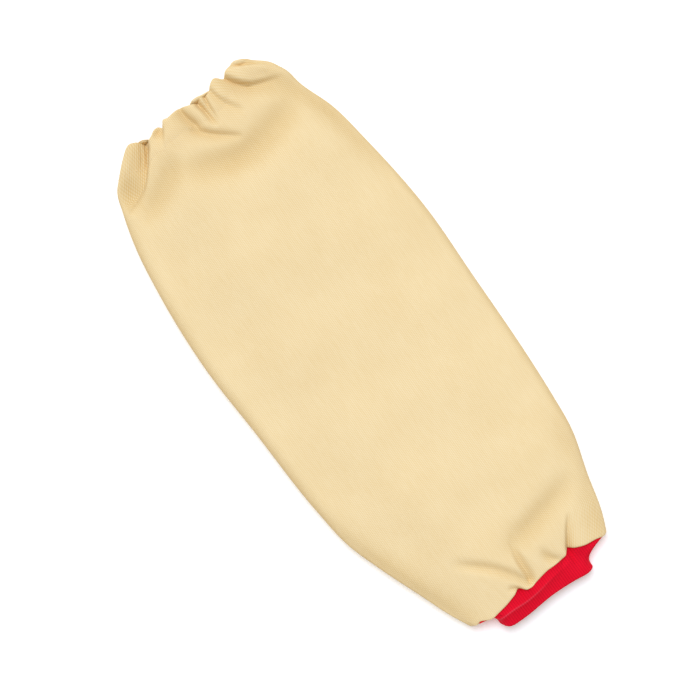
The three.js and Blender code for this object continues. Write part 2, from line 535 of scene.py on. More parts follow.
def lying_sleeve(mouth_back: float = 0.004, seam_up: float = 0.001) -> SleeveForm:
    """Return the form of the sleeve, with its ends where the solids have them.

    Args:
        mouth_back: Distance of the mouth's mean edge from the end of the solid hem.
        seam_up: Distance of the wrist seam's mean edge from the end of the solid sleeve.

    Returns:
        The form.
    """
    sections = (
        (-187, 47, 58, 16, 3),
        (-172, 54, 64.3, 16.5, 4.5),
        (-150, 62, 70.4, 17, 5.5),
        (-118, 73.8, 80, 17, 6),
        (-95, 81, 82.6, 17, 6),
        (-66, 84.4, 84.7, 17, 6),
        (0, 86.6, 87, 17, 6),
        (50, 88.2, 88.4, 17, 6.5),
        (110, 83.5, 83, 18, 7),
        (140, 78.5, 78.3, 18, 6.5),
        (164, 71.5, 70.2, 18, 5),
        (178, 65.8, 67.4, 18, 3.5),
        (188, 55, 61.2, 18, 2.8),
        (198, 43, 49, 18, 2.5),
    )
    creases = mouth_creases() + wrist_creases()
    pleats = {crease.name: crease for crease in creases}
    return SleeveForm(
        sections=tuple(Section(*mm(*sizes)) for sizes in sections),
        creases=creases,
        lifts=mouth_lifts(),
        flaps=(
            Flap(pleats["left pleat"], corner=mm(-43.4, 175.6), slant=36.0, turn=mm(156, 168)),
            Flap(pleats["wrist pleat"], corner=mm(46, -159), slant=36.0, turn=mm(-152, -172)),
        ),
        mouth_y=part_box("upper_hem")[1][1] - mouth_back,
        seam_y=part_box("sleeve_body")[0][1] + seam_up,
        mouth_top=EdgeLine.in_mm(
            (-47, 196.2), (-44, 197), (-40, 196), (-37.2, 194.8), (-35.4, 193.3), (-33.6, 191.6),
            (-31.8, 190.8), (-28.2, 191.9), (-23.5, 194.4), (-20.7, 194.3), (-18.3, 192.4),
            (-15.8, 195.4), (-12.2, 195), (-8, 195.7), (-2.4, 196), (1.5, 194.4), (4.4, 193.2),
            (6.6, 192.8), (8.8, 192), (12, 193.8), (15.6, 192.4), (19, 193.4), (22.3, 196.2),
            (27.3, 198.5), (31.6, 195), (35.8, 197.8), (39.6, 198.8), (42.4, 197.6), (45.2, 196),
            (49, 195.4), (52.3, 193.4),
        ),
        mouth_under=EdgeLine.in_mm(
            (-47, 196), (-44, 196.8), (-37, 194.9), (-33, 193.5), (-30.6, 192.4), (-28, 191.6),
            (-20, 192), (-10, 193.2), (4, 194), (7, 195.6), (10, 195.4), (14.4, 194.4), (18, 194.4),
            (30, 195), (36.7, 197.6), (40.4, 199.6), (43, 200.2), (47, 199.4), (50.3, 197.6),
            (52.3, 194.6),
        ),
        seam_top=EdgeLine.in_mm(
            (-48, -184.2), (-45, -185), (-41.6, -184), (-34.4, -186.8), (-27.2, -185.8),
            (-20.1, -184.4), (-13.6, -182.5), (-8, -181.2), (-5.7, -183.8), (-2.1, -184.9),
            (3.7, -183.8), (11.7, -182.4), (24.4, -182.1), (29, -181), (31.2, -178.9), (35.8, -181.1),
            (40.9, -183.3), (51.1, -185.3), (58.4, -187.6),
        ),
        seam_under=EdgeLine.in_mm(
            (-47, -184), (-20, -185.5), (10, -184.5), (35, -184), (58.4, -186),
        ),
    )


def mouth_creases() -> tuple[Crease, ...]:
    """List the creases that run in from the gathered mouth.

    Returns:
        The creases.
    """
    creases = (
        ("right roll", (2.2, 7.6), Fold.SOFT, (30.5, 200.6, 4.4), (32.1, 194.4, 4.6),
         (34.6, 189.5, 4.8), (38.2, 184.9, 5), (41.8, 181.6, 4.8), (45.8, 179.5, 4.6),
         (52.2, 177.1, 4), (59.3, 174.6, 2.6), (65.5, 173, 0.8)),
        ("under the roll", (1.1, 1.5), Fold.CRISP, (31, 198.6, 3.6), (32.1, 194.4, 3.8),
         (34.6, 189.5, 4.2), (38.2, 184.9, 4.8), (41.8, 181.6, 4.6), (45.8, 179.5, 3.4),
         (52.2, 177.1, 2), (58.3, 175, 0)),
        ("roll lip", (6, 0.7), Fold.CRISP, (36.5, 198.4, 1), (41, 197.2, 2.8), (45, 195, 4),
         (49, 193, 4.4), (56.3, 188.4, 4.2), (61, 184.4, 3.4), (65, 179.4, 2.2), (68, 172, 0.3)),
        ("right shoulder", (10, 10), Fold.SOFT, (45, 178, 1.2), (58, 171, 3.6), (68, 161, 4.8),
         (76.6, 146, 6), (81, 128, 5.2), (84.5, 108, 4), (86.5, 92, 2.6), (88, 72, 0)),
        ("right gather", (2.2, 3.6), Fold.CRISP, (19.8, 198, 4.4), (21, 187, 3.4), (24, 180, 2.9),
         (27.8, 174, 1.9), (31.4, 168.6, 0)),
        ("small gather", (1.5, 1.5), Fold.CRISP, (16, 198, 4.4), (14.4, 190, 4.6), (13.4, 184, 3.4),
         (13.2, 178.4, 1.6), (13, 174, 0)),
        ("middle gather", (2.4, 1.6), Fold.CRISP, (8.4, 198, 5), (8.5, 191, 6), (9.5, 184.8, 5.4),
         (10.3, 175.8, 3), (11, 171, 0)),
        ("pocket gather", (2.4, 5), Fold.CRISP, (-1.6, 198, 5.4), (-2.7, 191.4, 5.8),
         (-1.8, 186.4, 5.8), (-0.4, 181.4, 5.6), (0, 178, 4.4)),
        ("long crease", (2.2, 5), Fold.CRISP, (-2.6, 178.4, 4), (0, 175.6, 4.8), (3.6, 171.2, 4.8),
         (11.6, 164.2, 3.8), (18.6, 158.4, 2), (22, 155.6, 0)),
        ("lobe step", (1, 8), Fold.CRISP, (-16.8, 199, 5.4), (-18.3, 193.3, 5.2), (-20.3, 189.3, 4),
         (-23, 185, 2), (-26.4, 179.6, 0)),
        ("lobe dip", (3, 3), Fold.SOFT, (-28, 188.6, 0.6), (-24.6, 190, 3.6), (-21.4, 190.6, 4),
         (-19, 190.8, 1)),
        ("left pleat", (1.2, 11), Fold.CRISP, (-31, 197, 7.4), (-32.8, 188.7, 7.4), (-37.9, 182.2, 7),
         (-43.4, 175.6, 6), (-50.8, 168, 4.8), (-61.8, 163, 3.4), (-69.5, 160, 1.2)),
        ("pleat foot", (0.9, 1.7), Fold.CRISP, (-31.8, 197, 8), (-33.4, 191.8, 9), (-35.2, 187.6, 8),
         (-37.9, 183, 6.4), (-41, 178.8, 3.6), (-44, 175.4, 0)),
        ("flap gather", (1.2, 1.3), Fold.CRISP, (-36, 194, 3), (-37.2, 190.6, 4), (-40.4, 185, 3.8),
         (-44.6, 179.7, 2.6), (-48, 175, 0)),
        ("left shoulder", (10, 10), Fold.SOFT, (-50, 180, 1), (-61, 169, 5.6), (-68, 157, 0.4)),
        ("left trough", (8.5, 8.5), Fold.SOFT, (-20, 173, 0.8), (-30, 165.5, 3.6), (-42, 158.5, 3.8),
         (-54, 154, 2.8), (-66, 152, 0.4)),
        ("mouth trough", (10, 9), Fold.SOFT, (-26, 162, 1.2), (-12, 155, 3.2), (2, 149, 4.2),
         (17.6, 146, 4.6), (28, 147, 4.4), (38, 149.5, 3.8), (51, 154, 3), (60, 158, 1.8),
         (68, 162, 0)),
    )
    return tuple(Crease.in_mm(*crease) for crease in creases)


def mouth_lifts() -> tuple[Crease, ...]:
    """List the places where the lower layer's edge stands up behind the mouth's upper edge.

    Returns:
        The lifts.
    """
    lifts = (
        ("lift behind the left pleat", (5, 2), Fold.SOFT, (-44, 197.5, 0.6), (-38.4, 195.6, 5),
         (-35, 194.4, 10.6), (-33, 193.6, 12), (-31, 193, 11), (-27, 192.6, 5), (-21, 192.6, 0)),
        ("lift behind the middle gathers", (6, 2.2), Fold.SOFT, (-6, 196, 0), (2, 195.2, 9),
         (8.8, 193.4, 14.5), (16.4, 193.4, 14), (22, 195, 7), (28, 196, 0)),
        ("lift behind the right roll", (5, 5), Fold.SOFT, (26, 196, 0), (36, 198, 7), (43, 198.4, 13),
         (50, 196.6, 12), (57, 193, 0)),
    )
    return tuple(Crease.in_mm(*lift) for lift in lifts)


def wrist_creases() -> tuple[Crease, ...]:
    """List the creases that run up from the gathered wrist seam.

    Returns:
        The creases.
    """
    creases = (
        ("slanting gather", (3.4, 3.6), Fold.SOFT, (0.4, -184.6, 0.4), (-0.6, -181.4, 2.8),
         (-3.6, -177, 2.6), (-7.8, -170, 2.4), (-15.2, -160, 2.4), (-25.4, -150.2, 1.9),
         (-35, -141.4, 0)),
        ("wrist gather", (2.2, 3.4), Fold.SOFT, (0.8, -184.6, 0.4), (0.6, -181.4, 3.4),
         (1.2, -177, 3.8), (1.8, -169.8, 3.4), (3, -159.5, 2.2), (5, -152.8, 1.2), (9, -148, 0)),
        ("gathered tip", (1.2, 1.2), Fold.CRISP, (-1.6, -184, 0.4), (-0.6, -182, 3),
         (0.4, -178.6, 2.4), (1, -173, 0)),
        ("seam nick", (1.4, 1.8), Fold.CRISP, (-7.4, -184, 3.4), (-9.4, -180.4, 3), (-12, -178.2, 2),
         (-15.6, -177.4, 0)),
        ("wrist pleat", (0.8, 3.4), Fold.CRISP, (30.8, -188, 6), (31.2, -179.2, 6),
         (33.6, -175.4, 4.6), (38, -169, 2.8), (42, -163.6, 1.4), (46, -159, 0)),
        ("wrist shoulder", (9, 9), Fold.SOFT, (54, -190, 1.2), (60, -174, 2.4), (66, -160, 2.2),
         (72, -142, 1.4), (74, -122, 1.6), (79, -100, 0)),
        ("left wrist shoulder", (9, 9), Fold.SOFT, (-44, -188, 1), (-52, -172, 2.8), (-63, -145, 3.2),
         (-71, -122, 3), (-79, -100, 2.4), (-83, -80, 1), (-85, -65, 0)),
        ("wrist dent", (3, 3), Fold.SOFT, (17.6, -168.5, 0.6), (18.2, -175, 2.4), (20.5, -179, 2.6),
         (24.5, -182, 1.2)),
        ("wrist trough", (8, 8), Fold.SOFT, (4.3, -156, 1.4), (12.3, -154, 2.9), (24, -152, 3.4),
         (36.7, -149, 3), (52, -145, 1.8), (65, -138.5, 0)),
    )
    return tuple(Crease.in_mm(*crease) for crease in creases)


class NodeSketch:
    """A material's node tree, with short ways to add and link its nodes."""

    def __init__(self, name: str) -> None:
        """Start a material with a principled shader.

        Args:
            name: The material's name.
        """
        self.material = bpy.data.materials.new(name)
        self.material.use_nodes = True
        self.tree = self.material.node_tree
        self.shader = self.tree.nodes["Principled BSDF"]

    def add(self, kind: str, **settings: object) -> bpy.types.Node:
        """Add a node and set its properties.

        Args:
            kind: The node's type.
            **settings: Its properties, by name.

        Returns:
            The node.
        """
        node = self.tree.nodes.new(kind)
        for key, value in settings.items():
            setattr(node, key, value)
        return node

    def feed(self, socket: Socket, value: object) -> None:
        """Link a node's output to a socket, or set the socket to a plain value.

        Args:
            socket: The socket to feed.
            value: A node's output or a plain value.
        """
        if isinstance(value, Socket):
            self.tree.links.new(value, socket)
        else:
            socket.default_value = value

    def dress(self, values: dict[str, object]) -> None:
        """Feed the shader's own sockets, by their names."""
        for name, value in values.items():
            self.feed(self.shader.inputs[name], value)

    def math(self, operation: str, *values: object) -> Socket:
        """Add a math node.

        Args:
            operation: What it does.
            *values: The one to three values that it works on.

        Returns:
            Its result.
        """
        node = self.add("ShaderNodeMath", operation=operation)
        for socket, value in zip(node.inputs, values):
            self.feed(socket, value)
        return node.outputs[0]

    def vector(self, x: object, y: object, z: object = 0.0) -> Socket:
        """Join three values into a vector.

        Args:
            x: The first value.
            y: The second value.
            z: The third value.

        Returns:
            The vector.
        """
        node = self.add("ShaderNodeCombineXYZ")
        for socket, value in zip(node.inputs, (x, y, z)):
            self.feed(socket, value)
        return node.outputs[0]

    def cloth_axes(self) -> tuple[Socket, Socket]:
        """Read the piece's UV map.

        Returns:
            The places across and along the cloth, in metres of cloth.
        """
        split = self.add("ShaderNodeSeparateXYZ")
        self.feed(split.inputs[0], self.add("ShaderNodeUVMap", uv_map=CLOTH_UV).outputs[0])
        return split.outputs[0], split.outputs[1]

    def object_place(self) -> Socket:
        """Return the place on the object."""
        return self.add("ShaderNodeTexCoord").outputs["Object"]

    def mark(self, name: str) -> Socket:
        """Return a value that the piece's points carry."""
        return self.add("ShaderNodeAttribute", attribute_name=name).outputs["Fac"]

    def noise(self, vector: Socket, scale: float, detail: float = 2.0) -> Socket:
        """Add a noise texture.

        Args:
            vector: Where the noise is read.
            scale: How fine it is.
            detail: How many finer layers it has.

        Returns:
            Its grey value.
        """
        node = self.add("ShaderNodeTexNoise")
        self.feed(node.inputs["Vector"], vector)
        node.inputs["Scale"].default_value = scale
        node.inputs["Detail"].default_value = detail
        return node.outputs["Fac"]

    def across_yarn(self, place: Socket) -> Socket:
        """Return the place across each yarn of a row, from -1 to 1."""
        return self.math("MULTIPLY_ADD", self.math("FRACT", place), 2.0, -1.0)

    def round_yarn(self, place: Socket) -> Socket:
        """Return the rounded height across a row of yarns."""
        offset = self.across_yarn(place)
        return self.math("SUBTRACT", 1.0, self.math("MULTIPLY", offset, offset))

    def ramp(
        self, factor: Socket, low: Colour, high: Colour, start: float = 0.0, end: float = 1.0,
    ) -> Socket:
        """Return a colour that runs from low to high.

        Args:
            factor: What the colour follows.
            low: The colour at the start.
            high: The colour at the end.
            start: The factor at the start.
            end: The factor at the end.

        Returns:
            The colour.
        """
        node = self.add("ShaderNodeValToRGB")
        for stop, place, colour in zip(node.color_ramp.elements, (start, end), (low, high)):
            stop.position = place
            stop.color = (*colour, 1.0)
        self.feed(node.inputs[0], factor)
        return node.outputs[0]

    def tint(
        self, first: object, second: object, factor: object = 1.0, blend: Blend = Blend.MULTIPLY,
    ) -> Socket:
        """Blend two colours.

        Args:
            first: The colour underneath.
            second: The colour that comes onto it.
            factor: How much of the second colour comes on.
            blend: How they are joined.

        Returns:
            The blended colour.
        """
        node = self.add("ShaderNodeMix", data_type="RGBA", blend_type=blend.value)
        for name, value in (("Factor", factor), ("A", first), ("B", second)):
            self.feed(node.inputs[name], value)
        return node.outputs["Result"]

    def shade(self, base: object, factor: Socket, low: Colour, limits: Sizes = (0.0, 1.0)) -> Socket:
        """Return a colour that takes on a tint as a factor falls to its lower limit."""
        return self.tint(base, self.ramp(factor, low, WHITE, *limits))

    def bump(self, height: Socket, distance: float, strength: float = 1.0) -> None:
        """Raise the surface by a height.

        Args:
            height: The height, from 0 to 1.
            distance: How far the surface rises at 1.
            strength: How much of that shows.
        """
        node = self.add("ShaderNodeBump")
        node.inputs["Strength"].default_value = strength
        node.inputs["Distance"].default_value = distance
        self.feed(node.inputs["Height"], height)
        self.feed(self.shader.inputs["Normal"], node.outputs[0])


@dataclass(frozen=True)
class Nap:
    """How the short fuzz of a cloth takes the light.

    Attributes:
        gloss: Level of the plain gloss.
        weight: Strength of the sheen at a flat angle.
        roughness: Roughness of the sheen.
        tint: Colour of the sheen.
    """

    gloss: float
    weight: float
    roughness: float
    tint: Colour

    def dress(self, sketch: NodeSketch) -> None:
        """Set the gloss and the sheen on a cloth's shader.

        Args:
            sketch: The cloth's material.
        """
        sketch.dress({
            "Specular IOR Level": self.gloss,
            "Sheen Weight": self.weight,
            "Sheen Roughness": self.roughness,
            "Sheen Tint": (*self.tint, 1.0),
        })


@dataclass(frozen=True)
class DrillFinish:
    """Tan cotton drill: warp yarns crossed by a slanting twill line, matt, with a little fuzz.

    Attributes:
        colour: Colour on top of the yarns.
        yarn: Distance from one warp yarn to the next.
        twill_across: Distance from one twill line to the next, across the cloth.
        twill_along: Distance from one twill line to the next, along the cloth.
        between_yarns: Tint in the hollows between yarns.
        between_lines: Tint in the hollows between twill lines.
        gathered_and_shaded_yarns: Further tint between yarns where the cloth is gathered, and painted
            shade between yarns in folds and on the steep sides.
        fold_shade_tint: Painted shade, warm, deep in a fold and on the steep sides, standing in for light
            passed from cloth to cloth.
        slubs: Slubs to a metre, across and along the cloth.
        slub_tint: Tint of the slubs.
        slub_limits: Noise at which their tint is full and none.
        clouds: Fineness and detail of the cloth's unevenness.
        cloud_tint: Tint of that unevenness.
        cloud_limits: Noise at which its tint is full and none.
        rough: Roughness where there is no slub.
        slub_rough: Further roughness on a slub.
        nap: How the fuzz takes the light.
        relief: Height of the yarns.
        line_relief: Height of the twill lines, as a share of the yarns'.
        slub_relief: Height of the slubs, as a share of the yarns'.
        bump: How much of the relief shows.
    """

    colour: Colour = (0.91, 0.756, 0.496)
    yarn: float = 0.00116
    twill_across: float = 0.00195
    twill_along: float = 0.00203
    between_yarns: Colour = (0.94, 0.845, 0.59)
    between_lines: Colour = (0.985, 0.95, 0.87)
    gathered_and_shaded_yarns: Colour = (0.88, 0.78, 0.62)
    fold_shade_tint: Colour = (0.87, 0.84, 0.75)
    slubs: Sizes = (860.0, 90.0)
    slub_tint: Colour = (0.98, 0.965, 0.93)
    slub_limits: Sizes = (0.3, 0.6)
    clouds: Sizes = (38.0, 4.0)
    cloud_tint: Colour = (0.98, 0.968, 0.945)
    cloud_limits: Sizes = (0.35, 0.62)
    rough: float = 0.8
    slub_rough: float = 0.12
    nap: Nap = Nap(0.15, 0.06, 0.5, (1.0, 0.90, 0.72))
    relief: float = 0.00012
    line_relief: float = 0.25
    slub_relief: float = 0.25
    bump: float = 0.5

    def material(self, name: str) -> bpy.types.Material:
        """Make the drill's material, whose UV map is in metres of cloth.

        Args:
            name: The material's name.

        Returns:
            The material.
        """
        sketch = NodeSketch(name)
        across, along = sketch.cloth_axes()
        yarns = sketch.round_yarn(sketch.math("DIVIDE", across, self.yarn))
        rise = sketch.math("DIVIDE", along, self.twill_along)
        lines = sketch.round_yarn(sketch.math("MULTIPLY_ADD", across, 1.0 / self.twill_across, rise))
        stretched = [sketch.math("MULTIPLY", *pair) for pair in zip((across, along), self.slubs)]
        slub = sketch.noise(sketch.vector(*stretched), 1.0)
        cloud = sketch.noise(sketch.object_place(), *self.clouds)
        # Painted shade between yarns where the mark shows a crease or a steep side, on top of the
        # gathered weave.
        gathered = sketch.ramp(sketch.math("MULTIPLY", yarns, lines), self.gathered_and_shaded_yarns, WHITE)
        drawn = sketch.math("MAXIMUM", sketch.mark(PAINTED_LIGHT), sketch.mark(GATHER))
        tint = sketch.tint(sketch.ramp(yarns, self.between_yarns, WHITE), gathered, drawn)
        tint = sketch.shade(tint, lines, self.between_lines)
        tint = sketch.shade(tint, slub, self.slub_tint, self.slub_limits)
        tint = sketch.shade(tint, cloud, self.cloud_tint, self.cloud_limits)
        # Painted shade: warm darkening in creases and on the steep sides.
        tint = sketch.tint(tint, sketch.ramp(sketch.mark(PAINTED_LIGHT), WHITE, self.fold_shade_tint))
        sketch.dress({
            "Base Color": sketch.tint((*self.colour, 1.0), tint),
            "Roughness": sketch.math("MULTIPLY_ADD", slub, self.slub_rough, self.rough),
        })
        self.nap.dress(sketch)
        weave = sketch.math("MULTIPLY_ADD", lines, self.line_relief, yarns)
        sketch.bump(sketch.math("MULTIPLY_ADD", slub, self.slub_relief, weave), self.relief, self.bump)
        return sketch.material


@dataclass(frozen=True)
class RibFinish:
    """Red rib knit: columns of small loops, matt and slightly fuzzy.

    Attributes:
        colour: Colour on the ribs.
        bend_highlight: Painted highlight along the bend, a paler colour where the fuzz would catch the
            light.
        pitch: Distance from one rib to the next.
        loop: Height of one knitted loop.
        loop_slant: How far a loop's sides rise, as a share of its height.
        between_ribs: Tint in the hollows between ribs.
        rib_limits: Height across a rib at which that tint is full and none.
        between_loops: Tint in the hollows between loops.
        loop_limits: Height across a loop at which that tint is full and none.
        fuzz: Fineness and detail of the fuzz.
        clouds: Fineness and detail of the knit's unevenness.
        cloud_tint: Tint of that unevenness.
        cloud_limits: Noise at which its tint is full and none.
        rough: Roughness where there is no fuzz.
        fuzz_rough: Further roughness of the fuzz.
        nap: How the fuzz takes the light.
        relief: Height of the loops.
        fuzz_relief: Height of the fuzz, as a share of the loops'.
        bump: How much of the relief shows.
    """

    colour: Colour = (0.86, 0.006, 0.03)
    bend_highlight: Colour = (0.88, 0.06, 0.095)
    pitch: float = 0.00165
    loop: float = 0.0010
    loop_slant: float = 0.6
    between_ribs: Colour = (0.78, 0.4, 0.62)
    rib_limits: Sizes = (0.0, 0.8)
    between_loops: Colour = (0.86, 0.65, 0.78)
    loop_limits: Sizes = (0.0, 0.7)
    fuzz: Sizes = (900.0, 3.0)
    clouds: Sizes = (60.0, 3.0)
    cloud_tint: Colour = (0.93, 0.88, 0.90)
    cloud_limits: Sizes = (0.35, 0.62)
    rough: float = 0.7
    fuzz_rough: float = 0.2
    nap: Nap = Nap(0.08, 0.12, 0.4, (1.0, 0.3, 0.36))
    relief: float = 0.00014
    fuzz_relief: float = 0.4
    bump: float = 0.8

    def material(self, name: str) -> bpy.types.Material:
        """Make the rib knit's material, whose UV map is in metres of knit.

        Args:
            name: The material's name.

        Returns:
            The material.
        """
        sketch = NodeSketch(name)
        across, along = sketch.cloth_axes()
        places = sketch.math("DIVIDE", across, self.pitch)
        ribs = sketch.round_yarn(places)
        slant = sketch.math("ABSOLUTE", sketch.across_yarn(places))
        loops = sketch.math("DIVIDE", along, self.loop)
        knit = sketch.round_yarn(sketch.math("MULTIPLY_ADD", slant, self.loop_slant, loops))
        fuzz = sketch.noise(sketch.object_place(), *self.fuzz)
        cloud = sketch.noise(sketch.object_place(), *self.clouds)
        # Painted highlight: the paler colour along the bend, where the mark is high.
        base = sketch.tint((*self.colour, 1.0), (*self.bend_highlight, 1.0), sketch.mark(PAINTED_LIGHT), Blend.MIX)
        base = sketch.shade(base, ribs, self.between_ribs, self.rib_limits)
        base = sketch.shade(base, knit, self.between_loops, self.loop_limits)
        base = sketch.shade(base, cloud, self.cloud_tint, self.cloud_limits)
        sketch.dress({
            "Base Color": base,
            "Roughness": sketch.math("MULTIPLY_ADD", fuzz, self.fuzz_rough, self.rough),
        })
        self.nap.dress(sketch)
        sketch.bump(sketch.math("MULTIPLY_ADD", fuzz, self.fuzz_relief, knit), self.relief, self.bump)
        return sketch.material


@dataclass(frozen=True)
class ThreadFinish:
    """Twisted sewing thread, a shade deeper than the drill.

    Attributes:
        colour: Colour on the strands.
        shade: Colour between the strands.
        twist: Fineness and detail of the twist.
        twist_limits: Noise at which the colour is that between and that on the strands.
        rough: Roughness between the strands.
        twist_rough: Further roughness on the strands.
        relief: Height of the strands.
    """

    colour: Colour = (0.90, 0.725, 0.45)
    shade: Colour = (0.80, 0.63, 0.38)
    twist: Sizes = (2600.0, 1.0)
    twist_limits: Sizes = (0.3, 0.6)
    rough: float = 0.6
    twist_rough: float = 0.2
    relief: float = 0.00008

    def material(self, name: str) -> bpy.types.Material:
        """Make the thread's material, with its twist as fine flecks.

        Args:
            name: The material's name.

        Returns:
            The material.
        """
        sketch = NodeSketch(name)
        twist = sketch.noise(sketch.object_place(), *self.twist)
        sketch.dress({
            "Base Color": sketch.ramp(twist, self.shade, self.colour, *self.twist_limits),
            "Roughness": sketch.math("MULTIPLY_ADD", twist, self.twist_rough, self.rough),
        })
        sketch.bump(twist, self.relief)
        return sketch.material


@dataclass(frozen=True)
class FloorFinish:
    """A pale, smooth studio floor with a little painted glow, which lightens the shadows that fall on it.

    Attributes:
        colour: The floor's colour.
        shade: Share of that colour where the floor is darkest.
        clouds: Fineness of its unevenness.
        cloud_limits: Noise at which it is darkest and palest.
        rough: Its roughness.
        gloss: Level of its gloss.
        shadow_lifting_glow: Strength of its painted glow, which lightens its shadows.
    """

    colour: Colour = (0.97, 0.97, 0.97)
    shade: float = 0.98
    clouds: float = 3.0
    cloud_limits: Sizes = (0.3, 0.7)
    rough: float = 0.9
    gloss: float = 0.1
    shadow_lifting_glow: float = 0.15

    def material(self, name: str) -> bpy.types.Material:
        """Make the floor's material, almost white with a trace of unevenness.

        Args:
            name: The material's name.

        Returns:
            The material.
        """
        sketch = NodeSketch(name)
        cloud = sketch.noise(sketch.object_place(), self.clouds)
        darker = tuple(self.shade * part for part in self.colour)
        sketch.dress({
            "Base Color": sketch.ramp(cloud, darker, self.colour, *self.cloud_limits),
            "Roughness": self.rough,
            "Specular IOR Level": self.gloss,
            # Painted light: the floor glows a little, so the shadows on it come out lighter.
            "Emission Color": (*WHITE, 1.0),
            "Emission Strength": self.shadow_lifting_glow,
        })
        return sketch.material


def put_in_scene(name: str, data: bpy.types.ID) -> bpy.types.Object:
    """Make an object of a mesh, a lamp or a camera, and put it in the scene.

    Args:
        name: The object's name.
        data: The mesh, lamp or camera.

    Returns:
        The object.
    """
    made = bpy.data.objects.new(name, data)
    bpy.context.scene.collection.objects.link(made)
    return made


def piece_of(name: str, shape: bmesh.types.BMesh) -> bpy.types.Object:
    """Make a finished shape a piece of the scene.

    Args:
        name: The piece's name.
        shape: The shape, which is freed.

    Returns:
        The piece, at the origin.
    """
    mesh = bpy.data.meshes.new(name)
    shape.to_mesh(mesh)
    shape.free()
    return put_in_scene(name, mesh)


def roll_sheet(
    name: str, points: np.ndarray, marks: dict[str, np.ndarray], across: np.ndarray, lengths: np.ndarray,
) -> bpy.types.Object:
    """Roll a flat sheet of cloth into a ring and weld its long edges.

    Args:
        name: The piece's name.
        points: Rows by turns by three points where the sheet comes to lie.
        marks: Named values that those points carry for the finish.
        across: Place across the cloth of each of those points.
        lengths: Place along the cloth of each row.

    Returns:
        The piece, with a UV map in metres of cloth.
    """
    rows, columns = points.shape[0] - 1, points.shape[1] - 1
    sheet = bmesh.new()
    cloth = sheet.loops.layers.uv.new(CLOTH_UV)
    layers = {mark: sheet.verts.layers.float.new(mark) for mark in marks}
    bmesh.ops.create_grid(sheet, x_segments=columns, y_segments=rows, size=HALF_GRID, calc_uvs=True)
    for vert in sheet.verts:
        column = round((vert.co.x + HALF_GRID) * columns)
        row = round((vert.co.y + HALF_GRID) * rows)
        vert.co = points[row, column]
        for mark, layer in layers.items():
            vert[layer] = marks[mark][row, column]
    for face in sheet.faces:
        face.smooth = True
        for loop in face.loops:
            column, row = (round(share * count) for share, count in zip(loop[cloth].uv, (columns, rows)))
            loop[cloth].uv = (across[row, column], lengths[row])
    bmesh.ops.remove_doubles(sheet, verts=sheet.verts, dist=WELD_DISTANCE)
    return piece_of(name, sheet)


class Profile(NamedTuple):
    """A cloth's way along the sleeve, row by row: mean places, insets and lengths of cloth."""

    places: np.ndarray
    insets: np.ndarray
    lengths: np.ndarray


def profile_of(places: np.ndarray, insets: np.ndarray) -> Profile:
    """Return a profile with its lengths of cloth measured."""
    steps = np.hypot(np.diff(places), np.diff(insets))
    return Profile(places, insets, np.concatenate([[0.0], np.cumsum(steps)]))


def half_turn(steps: int) -> np.ndarray:
    """Return angles inside half a turn, without its ends."""
    return np.linspace(0.0, math.pi, steps + 2)[1:-1]


